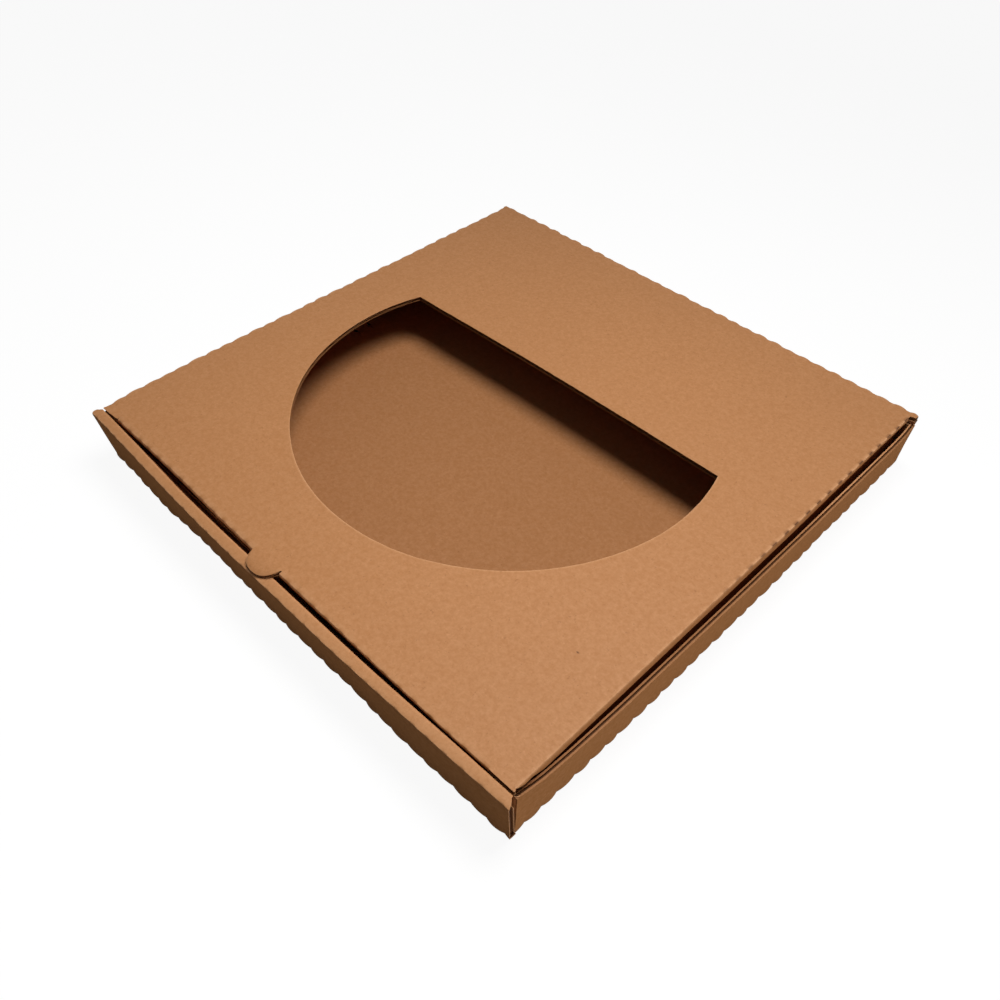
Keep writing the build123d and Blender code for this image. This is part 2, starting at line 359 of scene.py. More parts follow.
def kraft(name, base, gloss, edge=False):
    """Brown kraft liner: fibres, specks, painted flute shade, painted shade and paleness for worn paper and
    painted highlights; edge is the raw cut paper.
    """
    mat = bpy.data.materials.new(name)
    mat.use_nodes = True
    tree = mat.node_tree
    nodes, links = tree.nodes, tree.links
    shader = nodes["Principled BSDF"]
    shader.inputs["Specular IOR Level"].default_value = gloss
    place = nodes.new("ShaderNodeTexCoord")

    def noise(scale, detail, stretch=(1, 1, 1), rough=0.6):
        mapping = nodes.new("ShaderNodeMapping")
        mapping.inputs["Scale"].default_value = stretch
        links.new(place.outputs["Object"], mapping.inputs["Vector"])
        n = nodes.new("ShaderNodeTexNoise")
        n.inputs["Scale"].default_value = scale
        n.inputs["Detail"].default_value = detail
        n.inputs["Roughness"].default_value = rough
        links.new(mapping.outputs["Vector"], n.inputs["Vector"])
        return n.outputs["Fac"]

    def ramp(value, lo, hi, out_lo=0.0, out_hi=1.0):
        n = nodes.new("ShaderNodeMapRange")
        n.inputs["From Min"].default_value = lo
        n.inputs["From Max"].default_value = hi
        n.inputs["To Min"].default_value = out_lo
        n.inputs["To Max"].default_value = out_hi
        links.new(value, n.inputs["Value"])
        return n.outputs["Result"]

    def math_node(op, a, b=None):
        n = nodes.new("ShaderNodeMath")
        n.operation = op
        for k, v in enumerate((a, b)):
            if v is None:
                continue
            if isinstance(v, (int, float)):
                n.inputs[k].default_value = v
            else:
                links.new(v, n.inputs[k])
        return n.outputs[0]

    def mix(factor, a, b, how="MIX"):
        n = nodes.new("ShaderNodeMix")
        n.data_type = "RGBA"
        n.blend_type = how
        for key, v in (("Factor", factor), ("A", a), ("B", b)):
            kind = "VALUE" if key == "Factor" else "RGBA"
            socket = [s for s in n.inputs if s.name == key and s.type == kind][0]
            if isinstance(v, (int, float)):
                socket.default_value = v
            elif isinstance(v, tuple):
                socket.default_value = (*v, 1.0)
            else:
                links.new(v, socket)
        return [s for s in n.outputs if s.type == "RGBA"][0]

    def attribute(key):
        n = nodes.new("ShaderNodeAttribute")
        n.attribute_name = key
        return n.outputs["Fac"]

    def tint(r, g=None, b=None):
        """The base colour times one number, or times a number for each channel."""
        return base[0] * r, base[1] * (r if g is None else g), base[2] * (r if b is None else b)

    mottle = noise(26, 3)
    cloud = noise(7, 2)
    fibre_a = noise(1, 4, (500, 1500, 900), 0.7)
    fibre_b = noise(1, 4, (1500, 500, 900), 0.7)
    fibres = math_node("MULTIPLY", fibre_a, fibre_b)
    patch = noise(430, 1.2, rough=0.55)
    grain = noise(900, 2, rough=0.6)
    fine = noise(3000, 2, rough=0.7)
    speck = noise(620, 2, (1, 0.8, 1))
    fleck = noise(520, 2, (1, 1.4, 1))
    flute = math_node("SINE", math_node("MULTIPLY", attribute("flute"), 2 * math.pi / FLUTE))
    wear_and_highlight = attribute("wear_and_highlight")
    shade_and_speck = attribute("shade_and_speck")

    # Each layer lies on the ones before it: its pattern, where that starts and is full, its strength and tint
    colour = mix(ramp(cloud, 0.35, 0.65), tint(0.975), tint(1.025))
    for pattern, lo, hi, strength, tone in (
            (mottle, 0.3, 0.7, 0.40, tint(0.95)),
            (fibres, 0.18, 0.36, 0.22, tint(1.12, 1.15, 1.2)),
            (patch, 0.30, 0.70, 0.62, tint(0.84, 0.76, 0.62)),
            (grain, 0.42, 0.66, 0.26, tint(0.74, 0.68, 0.60)),
            (fine, 0.5, 0.75, 0.20, tint(0.78, 0.72, 0.66)),
            (speck, 0.66, 0.74, 0.45, tint(0.58, 0.50, 0.42)),
            (fleck, 0.64, 0.74, 0.32, tint(1.22, 1.30, 1.42)),
            # The flute stripes are painted shade of the flutes' ridges
            (flute, -1, 1, 0.035, tint(0.78))):
        colour = mix(ramp(pattern, lo, hi, 0.0, strength), colour, tone)
    # Paleness for worn folds and raw paper, and for painted highlights
    pale = tuple(min(v, most) for v, most in zip(tint(1.38, 1.62, 2.0), (0.9, 0.85, 0.8)))
    if edge:
        pale = tuple(0.95 * v for v in pale)
    scuff_and_highlight = math_node("MULTIPLY", wear_and_highlight, ramp(noise(520, 3), 0.3, 0.6, 0.35, 0.95))
    colour = mix(scuff_and_highlight, colour, pale)
    # Painted shade, and the paper's specks, go towards a near-black brown
    colour = mix(shade_and_speck, colour, tint(0.14, 0.10, 0.07))
    links.new(colour, shader.inputs["Base Color"])

    links.new(ramp(grain, 0.3, 0.7, 0.54, 0.66), shader.inputs["Roughness"])

    height = math_node("MULTIPLY", flute, 0.22)
    for pattern, share in ((grain, 0.55), (fibres, 0.5), (mottle, 1.2)):
        height = math_node("ADD", height, math_node("MULTIPLY", pattern, share))
    bump = nodes.new("ShaderNodeBump")
    bump.inputs["Strength"].default_value = 0.5
    bump.inputs["Distance"].default_value = 0.00012
    links.new(height, bump.inputs["Height"])
    links.new(bump.outputs["Normal"], shader.inputs["Normal"])
    return mat


KRAFT = (0.565, 0.263, 0.109)
INNER = (0.470, 0.216, 0.093)
lid_face = kraft("kraft_lid_face", KRAFT, 0.22)
lid_edge = kraft("kraft_lid_edge", KRAFT, 0.08, edge=True)
tray_face = kraft("kraft_tray_face", KRAFT, 0.15)
tray_edge = kraft("kraft_tray_edge", KRAFT, 0.08, edge=True)
inner_face = kraft("kraft_inner_face", INNER, 0.05)
wall_face = kraft("kraft_wall_face", KRAFT, 0.0)


# Lid: where its four edges run

def lid_right(y):
    """The right flap's fold line, which is straight."""
    return np.full(np.shape(y), LID_RIGHT)


def lid_left(y):
    """The left flap's fold line, which bows."""
    return soft_interp(y, [-165, -154, -136, -116, -96, -66, -36, -6, 24, 54, 84, 114, 154, 166],
                       [-164.6, -166.5, -167.0, -167.4, -167.45, -167.4, -167.2, -167.0, -166.8, -166.6,
                        -166.4, -166.2, -165.8, -165.6], 8.0)


def lid_front(x):
    """The tuck fold's line, which wanders a little."""
    return soft_interp(x, [-166, -141, -111, -80, -50, -25, 20, 50, 80, 110, 130, 150, 166],
                       [-163.8, -163.7, -163.6, -163.9, -164.9, -165.2, -165.4, -165.4, -165.6, -165.5,
                        -165.5, -165.0, -164.8], 9.0)


def wall_lean(y):
    """How far a side wall's top edge stands out of its foot."""
    return soft_interp(y, [-166, -150, -130, -100, -60, 0, 60, 100, 140, 155, 166],
                       [0.2, 2.4, 3.3, 4.0, 4.4, 4.8, 4.8, 4.5, 4.3, 3.8, 2.4], 5.0)


def foot_bow(y):
    """How far a side wall's foot swells out of the straight line between the corners."""
    return soft_interp(y, [-166, -130, -100, -60, 0, 40, 80, 120, 166],
                       [0.1, 0.6, 1.0, 1.25, 1.5, 1.3, 0.8, 0.5, 0.4], 8.0)


def wall_x(y, z):
    """Outer face of the right side wall."""
    k = (z - LEAN_LOW) / (LEAN_HIGH - LEAN_LOW)
    return FOOT_HALF + foot_bow(y) * (1 - k) + wall_lean(y) * k


def flap_low(ends, short, long):
    """Height of a flap's lower edge: long below the lid's top, and rounded up to short where ends is 0."""
    return LID_TOP - short - (long - short) * np.sin(ends * math.pi / 2) ** 0.5


lid = Board()


def side_flap(side, seed):
    """One side flap with its fold: side is 1 on the right, -1 on the left."""
    y = stations(FLAP_FRONT, FLAP_BACK)
    edge = lid_right(y) if side > 0 else -lid_left(y)
    bulge, nick = scallop(y, PITCH, seed)
    b = (0.16 if side > 0 else 1.6) * (bulge - 0.70)
    d = 0.06 * drift(y, seed + 1)
    wall_in = wall_x(y, LEAN_HIGH) - BOARD
    tuck = np.minimum(wall_in - 0.8, edge - 0.5)
    wall_in = wall_in - 0.35
    from_end = np.minimum(y - FLAP_FRONT, FLAP_BACK - y)
    low = flap_low(np.clip(from_end / 22.0, 0, 1), 9.0, 26.8)
    crease_z = 33.0
    foot = tuck - (crease_z - low) * math.tan(math.radians(8.0))
    mid_z = (crease_z + low) / 2
    back = np.clip((y - 40.0) / 90.0, 0, 1)
    # Below the crease each row starts a little further from the corner
    fade = (1 - np.clip(from_end / 26.0, 0, 1)) ** 2 * np.where(y < 0, 1.0, -1.0)
    lag = [0.0, 0.0, 0.0, 0.0, 1.2, 3.2, 6.6, 8.4, 9.0, 9.0]
    y_rows = [y + s * fade for s in lag]
    x_rows = [edge - SEAM, edge - 1.8, edge - 0.6 + 0.3 * b, edge - 0.05 + 0.9 * b + d, edge + 0.28 + b + d,
              np.minimum(edge + 0.55 + 0.8 * b + d, wall_in + 1.6),
              np.minimum(edge + 0.65 - 0.6 * back, wall_in), tuck - 0.1, (tuck + foot) / 2, foot]
    z_rows = [LID_TOP, LID_TOP, LID_TOP - 0.03, LID_TOP - 0.18, LID_TOP - 0.75,
              LID_TOP - 2.1 + 0.4 * back, LID_TOP - 4.4 + 1.1 * back, LID_TOP - 5.9 + 0.6 * back, mid_z, low]
    x_in = [edge - SEAM, edge - 3.7, edge - 3.5, edge - 3.42, edge - 3.4, edge - 3.4,
            tuck - BOARD + 0.1, tuck - BOARD - 0.1, (tuck + foot) / 2 - BOARD, foot - BOARD]
    z_in = [LID_LOW, LID_LOW, LID_LOW, LID_LOW - 0.05, LID_LOW - 0.1, LID_LOW - 0.2,
            LID_TOP - 5.0, LID_TOP - 7.0, mid_z, low]
    outer = rows(*[(side * x, v, z) for x, v, z in zip(x_rows, y_rows, z_rows)])
    inner = rows(*[(side * x, v, z) for x, v, z in zip(x_in, y_rows, z_in)])
    n = len(y)
    wear_and_highlight, shade_and_speck = np.zeros((2, *outer.shape[:2]))
    # The crest is made paler and the perforation nicks get painted shade; on the right flap both grow towards
    # the back
    far = np.clip((y + 40.0) / 70.0, 0, 1) if side > 0 else np.full(n, 0.3)
    wear_and_highlight[:, 2] = (0.20 + 0.25 * far) * (1 - nick)
    wear_and_highlight[:, 3] = (0.50 + 0.40 * far) * (1 - 0.95 * nick * far)
    wear_and_highlight[:, 4] = 0.12
    shade_and_speck[:, 2] = 0.40 * far * nick
    shade_and_speck[:, 3] = (0.05 + 0.90 * far) * nick
    shade_and_speck[:, 4] = 0.40 * far * nick
    flute = np.stack([np.broadcast_to(side * (LID_RIGHT + (LID_TOP - z)), (n,)) for z in z_rows], 1)
    if side < 0:
        outer, inner, wear_and_highlight, shade_and_speck, flute = (v[::-1] for v in (outer, inner, wear_and_highlight, shade_and_speck, flute))
    lid.sheet(outer, inner, wear_and_highlight, shade_and_speck, flute, ends=(False, False), mat=WALL, split=4)
    for k, step in ((0, 1), (-1, -2)):
        lid.cut(outer[k, 3:], inner[k, 3:], unit(outer[step, 3:] - outer[k, 3:]), flute=flute[k, 3:])


def tuck_flap():
    """The front flap: two full lengths of fold, and between them the flap below the thumb tab's opening."""
    lean = math.tan(math.radians(17.0))
    for lo, hi, top_row, seed in ((-TUCK_HALF, TAB_LEFT, 0, 31), (NICK_RIGHT, TUCK_HALF, 0, 33),
                                  (TAB_LEFT, NICK_RIGHT, 7, 35)):
        x = stations(lo, hi)
        edge = lid_front(x)
        bulge, nick = scallop(x, PITCH, seed)
        b = 0.30 * (bulge - 0.62)
        low = flap_low(np.clip((TUCK_HALF - np.abs(x)) / 12.0, 0, 1), 10.0, 23.8)
        mid_z = (30.5 + low) / 2
        tuck = edge + 0.8
        soft = soft_interp(x, [-150, -20, 25, 60], [1.75, 1.75, 1.45, 1.0], 10.0)

        def face(z):
            return tuck + (LID_TOP - 3.9 - z) * lean

        y_rows = [edge + SEAM, edge + 1.8 * soft, edge + 0.75 * soft, edge + 0.22 * soft - 0.6 * b, edge - b,
                  edge + 0.05 - 0.6 * b, face(LID_TOP - 4.1), face(LID_TOP - 7.5), face(mid_z), face(low)]
        z_rows = [LID_TOP, LID_TOP, LID_TOP - 0.08 * soft, LID_TOP - 0.32 * soft + 0.12 * b,
                  LID_TOP - 0.85 * soft, LID_TOP - 1.55 * soft, LID_TOP - 4.1, LID_TOP - 7.5, mid_z, low]
        y_in = [edge + SEAM, edge + 3.7, edge + 3.5, edge + 3.42, edge + 3.4, edge + 3.4,
                *[face(z) + BOARD for z in (LID_TOP - 4.6, LID_TOP - 7.8, mid_z, low)]]
        z_in = [LID_LOW, LID_LOW, LID_LOW, LID_LOW - 0.05, LID_LOW - 0.1, LID_LOW - 0.2,
                LID_TOP - 4.6, LID_TOP - 7.5, mid_z, low]
        outer = rows(*[(x, y, z) for y, z in zip(y_rows, z_rows)])[::-1, top_row:]
        inner = rows(*[(x, y, z) for y, z in zip(y_in, z_in)])[::-1, top_row:]
        wear_and_highlight, shade_and_speck = np.zeros((2, len(x), len(y_rows)))
        # The crest is made paler and the perforation nicks get painted shade
        wear_and_highlight[:, 1] = 0.12
        wear_and_highlight[:, 2] = 0.30 * (1 - nick)
        wear_and_highlight[:, 3] = 0.38 * (1 - nick)
        wear_and_highlight[:, 4] = 0.08 * (1 - nick)
        shade_and_speck[:, 3] = 0.25 * nick
        wear_and_highlight, shade_and_speck = wear_and_highlight[::-1, top_row:], shade_and_speck[::-1, top_row:]
        whole = top_row == 0
        lid.sheet(outer, inner, wear_and_highlight, shade_and_speck, ends=(False, False), last_waves=x[::-1], first=not whole,
                  mat=WALL, split=4 if whole else 0)
        if whole:
            # The raw ends: below the crease at the corner, and above the notch beside the thumb tab
            at_tab = 0 if hi == TAB_LEFT else -1
            for k, inward in ((0, -1.0), (-1, 1.0)):
                part = slice(0, 8) if k == at_tab else slice(3, None)
                lid.cut(outer[k, part], inner[k, part], (inward, 0, 0), depth=1.0, pale=(0.3, 0.1))


def hinge_roll():
    """The lid's back edge, rolled round the axis it turns on."""
    x = stations(HINGE_LEFT, HINGE_RIGHT)
    bulge, nick = scallop(x, PITCH, 51)
    end = np.clip(1 - np.minimum(x - HINGE_LEFT, HINGE_RIGHT - x) / 2.6, 0, 1)
    b = 1.35 * np.minimum(bulge - 1.0, 0.0) * (1 - end) - 0.75 * end ** 2
    # Angle, radius and share of the bulge at each row of the roll
    a = np.radians([90, 66, 46, 24, -10, -42, -66, -90])
    r = [1.5, 1.62, 1.84, 1.62, 1.5, 1.5, 1.5, 1.5]
    share = [0.10, 0.70, 1.0, 1.0, 0.8, 0.4, 0.0, 0.0]
    roll = [(x, HINGE_Y + (k + b * s) * math.cos(t), HINGE_Z + (k + b * s) * math.sin(t))
            for k, s, t in zip(r, share, a)]
    outer = rows((x, HINGE_SEAM, LID_TOP), *roll, (x, HINGE_SEAM, LID_LOW))
    wear_and_highlight, shade_and_speck = np.zeros((2, *outer.shape[:2]))
    # The crest is made paler and the perforation nicks get painted shade
    wear_and_highlight[:, 2] = 0.25 * (1 - nick)
    wear_and_highlight[:, 3] = 0.45 * (1 - nick)
    shade_and_speck[:, 3] = 0.10 * nick
    lid.grid(outer, wear_and_highlight, shade_and_speck)
    for k in (0, -1):
        s = np.sign(x[k])
        upper, lower = outer[k, :5], outer[k, :4:-1]
        lid.cut(upper, lower, (-s, 0, 0), depth=2.0)


def lid_panel():
    """The top panel: the flat board between the folds' seams, with the window and the thumb tab."""
    xl, xr = stations(-TUCK_HALF, TAB_LEFT), stations(NICK_RIGHT, TUCK_HALF)
    y = stations(FLAP_FRONT, FLAP_BACK)
    hx = stations(HINGE_LEFT, HINGE_RIGHT)[::-1]
    seam_left = np.column_stack([xl, lid_front(xl) + SEAM])
    seam_right = np.column_stack([xr, lid_front(xr) + SEAM])
    left, left_back = float(lid_left(FLAP_FRONT)), float(lid_left(FLAP_BACK))
    front_a, front_d = float(lid_front(-TUCK_HALF)), float(lid_front(TUCK_HALF))
    root = thumb_tab()
    root_y = root[0, 1]
    # The free corners: a front left, d front right, c back right, b back left
    corner_a = [(left + 0.1, FLAP_FRONT), (left - 0.05, FLAP_FRONT - 0.4), (left + 0.1, -164.4),
                (left + 0.5, -164.6), (-160.0, -164.35), (-TUCK_HALF - 0.5, front_a),
                (-TUCK_HALF, front_a + 0.25)]
    nick = [root[-1], (TAB_RIGHT + 0.2, root_y + 0.5), (NICK_RIGHT, root_y + 0.7), seam_right[0]]
    corner_d = [(TUCK_HALF, front_d + 0.25), (TUCK_HALF + 0.5, front_d), (165.1, -164.9), (165.7, -164.5),
                (LID_RIGHT + 0.4, FLAP_FRONT - 0.5), (LID_RIGHT - 0.1, FLAP_FRONT)]
    corner_c = [(LID_RIGHT - 0.1, FLAP_BACK), (LID_RIGHT, FLAP_BACK + 0.6), (LID_RIGHT, 162.4),
                (HINGE_RIGHT, HINGE_SEAM)]
    corner_b = [(HINGE_LEFT, HINGE_SEAM), (left_back, 162.6), (left_back, FLAP_BACK + 0.6),
                (left_back + 0.1, FLAP_BACK)]
    free = {"a": corner_a, "tab": [seam_left[-1], root[0]], "nick": nick, "d": corner_d, "c": corner_c,
            "b": corner_b}
    free = {key: dense(line) for key, line in free.items()}
    outline = np.concatenate([
        free["a"], seam_left, free["tab"][1:], root[1:], free["nick"][1:], seam_right[1:], free["d"],
        np.column_stack([lid_right(y) - SEAM, y]), free["c"],
        np.column_stack([hx, np.full(len(hx), HINGE_SEAM)])[1:], free["b"][1:],
        np.column_stack([lid_left(y[::-1]) + SEAM, y[::-1]])])

    # The window: an arc from the chord's left end round the front to its right end, then the chord
    cx, cy, radius, chord = -4.5, 4.2, 125.0, 42.7
    left_end, right_end = 180 - 17.02, 360 + 17.77
    t = np.linspace(math.radians(left_end), math.radians(right_end), 560)
    reach = radius + soft_interp(
        np.degrees(t), [162, 173, 190, 208, 226, 243, 252, 270, 288, 305, 323, 341, 350, 359, 367, 379],
        [-2.1, -1.5, -1.2, -0.4, 0.1, 0.5, 0.95, 0.7, 0.55, -0.2, -0.2, 0.25, 0.8, 1.3, 1.4, 1.6], 5.0)
    ring = np.column_stack([cx + reach * np.cos(t), cy + reach * np.sin(t)])
    line_x = np.linspace(ring[-1, 0], ring[0, 0], 260)[1:-1]  # the chord, without its ends
    line_y = chord + soft_interp(line_x, [-123, -99, -82, -64, -46, -29, -11, 6, 24, 60, 94, 116],
                                 [-2.5, -2.0, -1.4, -0.9, -0.5, 0.0, 0.25, 0.45, 0.45, 0.4, 0.15, 0.1], 5.0)
    window = np.concatenate([ring, np.column_stack([line_x, line_y])])
    normal = np.concatenate([np.column_stack([np.cos(t), np.sin(t)]), np.tile([0.0, 1.0], (len(line_x), 1))])
    r = np.random.default_rng(5)
    fray = np.pad(r.normal(0, 1, len(window)), 3, mode="wrap")
    fray = np.convolve(fray, np.ones(7) / 7, mode="valid") * 0.10
    edge = window + normal * fray[:, None]
    for k in (0, len(ring) - 1):
        edge[k] = window[k]
        normal[k] = unit(normal[k] + np.array([0.0, 1.0]))
    inset = [edge + normal * d for d in (0.0, 0.4, 1.3)]

    # A soft lip, slightly pale, with a painted highlight towards the window's front right
    rim = at_height(inset[0], LID_TOP - 0.12)
    lip = np.stack([rim, at_height(inset[1], LID_TOP), at_height(inset[2], LID_TOP)], 1)
    near = np.clip((normal @ np.array([0.7, -0.7]) - 0.05) / 0.35, 0, 1)[:, None]
    lid.grid(lip, near * np.array([0.9, 0.30, 0.0]) + (1 - near) * np.array([0.15, 0.0, 0.0]), closed=True)
    # The cut edge gets painted shade, less of it in the middle of the chord, and a painted highlight at the
    # arc's left end
    lit = 0.6 * np.exp(-((window[:, 0] + 30.0) / 50.0) ** 2) * (normal[:, 1] > 0.9)
    tip = np.clip(1 - np.hypot(*(window - ring[0]).T) / 30.0, 0, 1) * (normal[:, 0] < -0.2)
    lid.cut(rim, at_height(inset[0], LID_LOW), at_height(normal, 0.0), closed=True, waves=window[:, 0],
            pale=(0.05 + 0.6 * tip, 0.0), ribbon_wear=0.0, ribbon_shade=0.65,
            shade=(0.45 * (1 - tip) * (1 - lit), 0.55 * (1 - lit)))
    lid.fill([outline, inset[2]], LID_TOP, 7.0, spots=[SPECK])
    lid.fill([outline, inset[0]], LID_LOW, 9.0, up=False, mat=INSIDE)

    # Free edges: the corners, the thumb tab and the ends of the hinge; the front right corner's edge gets
    # painted shade
    for key, run in free.items():
        d_shade = 0.35 if key == "d" else 0.0
        lid.cut(at_height(run, LID_TOP), at_height(run, LID_LOW), left_of(run), depth=0.9,
                pale=(0.8 - d_shade, 0.7 - d_shade), shade=(d_shade, d_shade))


def thumb_tab():
    """The tab left in the lid's plane, pressed down towards its thin cut rim. Returns its root's points."""
    rim = np.array(smooth_line(
        [(TAB_LEFT, -164.8), (-15.6, -167.4), (-14.2, -170.1), (-11.5, -172.2), (-8.2, -173.0),
         (-4.6, -173.0), (-1.2, -172.1), (1.6, -170.2), (3.4, -167.9), (4.5, -166.0), (TAB_RIGHT, -164.4)], 56))
    x = np.linspace(TAB_LEFT, TAB_RIGHT, len(rim))
    root = np.column_stack([x, np.full(len(x), float(lid_front(-6.0)) + TAB_ROOT)])
    v = np.array([0.0, 0.15, 0.3, 0.45, 0.6, 0.72, 0.82, 0.9, 0.96, 1.0])
    plan = root[:, None] + (rim - root)[:, None] * v[None, :, None]
    reach = np.clip((root[0, 1] - plan[:, :, 1]) / 8.5, 0, 1)
    top = LID_TOP - 1.6 * reach ** 1.4 - 0.45 * v ** 10
    upper = np.concatenate([plan, top[:, :, None]], 2)
    lower = np.concatenate([plan, np.full(top.shape + (1,), LID_LOW)], 2)
    # The rim's left side gets a painted highlight
    left = np.clip((-9.0 - rim[:, 0]) / 4.0, 0, 1)
    wear_and_highlight = np.zeros(top.shape)
    wear_and_highlight[:, -1] = 0.10 + 0.55 * left
    wear_and_highlight[:, -2] = 0.25 * left
    lid.grid(upper, wear_and_highlight)
    lid.grid(lower, mat=INSIDE, flip=True)
    lid.cut(upper[:, -1], lower[:, -1], left_of(rim), depth=0.5, waves=rim[:, 0],
            pale=(0.35 + 0.6 * left, 0.1 + 0.5 * left), ribbon_wear=0.5, ribbon_shade=0.1)
    return root


side_flap(1, 11)
side_flap(-1, 21)
tuck_flap()
hinge_roll()
lid_panel()

lid_piece = lid.object("lid_board", [lid_face, lid_edge, inner_face, wall_face])
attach(lid_piece, "lid")
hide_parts("lid")


# Tray

tray = Board()

# The fold at a wall's foot, on its inside: distances in from the wall's line, and heights
FOLD_IN = [SEAM, 3.6, 3.2, 3.1, 3.05]
FOLD_IN_Z = [FLOOR, FLOOR, FLOOR, FLOOR + 0.05, FLOOR + 0.1]
WALL_IN_Z = 4.5  # where the plain wall starts on its inside


def foot_fold(b):
    """The fold at a wall's foot, on its outside: distances in from the wall's line, and heights."""
    return ([SEAM, 2.4, 1.0 - 0.3 * b, 0.2 - 0.8 * b, -b],
            [0.0, 0.0, np.maximum(0.12 - 0.25 * b, 0.0), 0.55 - 0.35 * b, 1.7])


def side_wall(side, seed):
    """One side wall with the fold at its foot and its raw top edge."""
    y = stations(SIDE_FRONT, SIDE_BACK)
    bulge, nick = scallop(y, PITCH, seed)
    b = 1.05 * (bulge - 0.62)
    wob = 0.25 * drift(y, seed + 2)
    top = soft_interp(y, [-165, -130, -100, -60, 20, 60, 100, 165],
                      [33.0, 32.6, 32.4, 33.0, 33.3, 33.2, 32.8, 32.8], 8.0)
    top = top + 0.18 * drift(y, seed + 3, 25.0)
    foot = FOOT_HALF + foot_bow(y)
    z_up = [4.0, 8.0, 14.0, 20.0, 26.0, 31.0]
    swell = [0.0, 0.25, 0.4, 0.4, 0.25, 0.1]
    fold_in, fold_z = foot_fold(b)
    wall = [wall_x(y, z) + s * wob for z, s in zip(z_up, swell)] + [wall_x(y, top)]
    x_rows = [foot - r for r in fold_in] + wall
    z_rows = fold_z + z_up + [top]
    x_in = [foot - r for r in FOLD_IN] + [x - BOARD for x in wall]
    z_in = FOLD_IN_Z + [WALL_IN_Z] + z_up[1:] + [top]
    outer = rows(*[(side * x, y, z) for x, z in zip(x_rows, z_rows)])
    inner = rows(*[(side * x, y, z) for x, z in zip(x_in, z_in)])
    wear_and_highlight, shade_and_speck = np.zeros((2, *outer.shape[:2]))
    # The foot fold is made paler on its bulges, and its nicks get painted shade
    wear_and_highlight[:, 3] = 0.25 * (1 - nick)
    wear_and_highlight[:, 4] = 0.15 * (1 - nick)
    shade_and_speck[:, 3] = 0.35 * nick
    shade_and_speck[:, 4] = 0.12 * nick
    flute = np.stack([np.broadcast_to(side * (FOOT_HALF + np.asarray(z)), y.shape) for z in z_rows], 1)
    if side > 0:
        outer, inner, wear_and_highlight, shade_and_speck, flute = (v[::-1] for v in (outer, inner, wear_and_highlight, shade_and_speck, flute))
    tray.sheet(outer, inner, wear_and_highlight, shade_and_speck, flute, ends=(False, False), last=False, mat=WALL)
    # The top edge's liners get painted shade; towards the back the inner liner gets less of it and is made
    # paler
    far = np.clip((outer[:, -1, 1] - 30.0) / 50.0, 0, 1)
    tray.cut(outer[:, -1], inner[:, -1], unit(outer[:, -2] - outer[:, -1]), flute=flute[:, -1], depth=1.4,
             liner=0.31, pale=(0.15, 0.5 * far), shade=(0.36, 0.42 - 0.42 * far))


def corner_tab(side, back):
    """A corner tab: the side wall's end turned in behind the front or back wall."""
    sign = 1.0 if back else -1.0
    y_face = 163.95 if back else -164.5
    radius = 2.0
    if back:
        z = np.array([3.4, 8.0, 14.0, 20.0, 26.0, 31.0, 33.4])
        reach, taper = 58.0, np.clip((z - 3.4) / 30.0, 0, 1) * 12.0
    else:
        z = np.array([1.9, 5.0, 8.5, 12.0, 18.0, 25.0, 33.4])
        reach, taper = 4.5, 0.0
    corner = wall_x(SIDE_BACK if back else SIDE_FRONT, z)
    face, face_in = [], []
    for t in np.radians(np.linspace(0, 90, 7)):
        face.append((corner - radius + radius * math.cos(t), y_face - sign * radius * (1 - math.sin(t)), z))
        face_in.append((corner - BOARD - 0.02 * math.sin(t), y_face - sign * (BOARD - 0.02 * math.cos(t)), z))
    for u in np.linspace(0.05, 1.0, 24):
        x = corner - radius - (reach - radius - taper) * u
        face.append((x, y_face, z))
        face_in.append((np.minimum(x, corner - BOARD - 0.05), y_face - sign * BOARD, z))
    mirror = np.array([side, 1, 1])
    outer, inner = (rows(*v).swapaxes(0, 1) * mirror for v in (face, face_in))
    wear_and_highlight = np.zeros(outer.shape[:2])
    wear_and_highlight[2:6, :] = 0.25
    tray.sheet(outer, inner, wear_and_highlight, ends=(False, True), mat=WALL)
    if not back:
        # The low tab that runs on behind the outer front panel
        tip_x, low_z = 104.6, 3.3
        x = np.linspace(162.0, tip_x, 30)
        rise = np.clip((x - tip_x) / 14.0, 0, 1) * 8.6 + 0.1
        outer = rows(*[(x, y_face, low_z + rise * k) for k in (0.0, 0.5, 1.0)]) * mirror
        tray.sheet(outer, outer - np.array([0, sign * BOARD, 0]), ends=(False, True), mat=WALL)


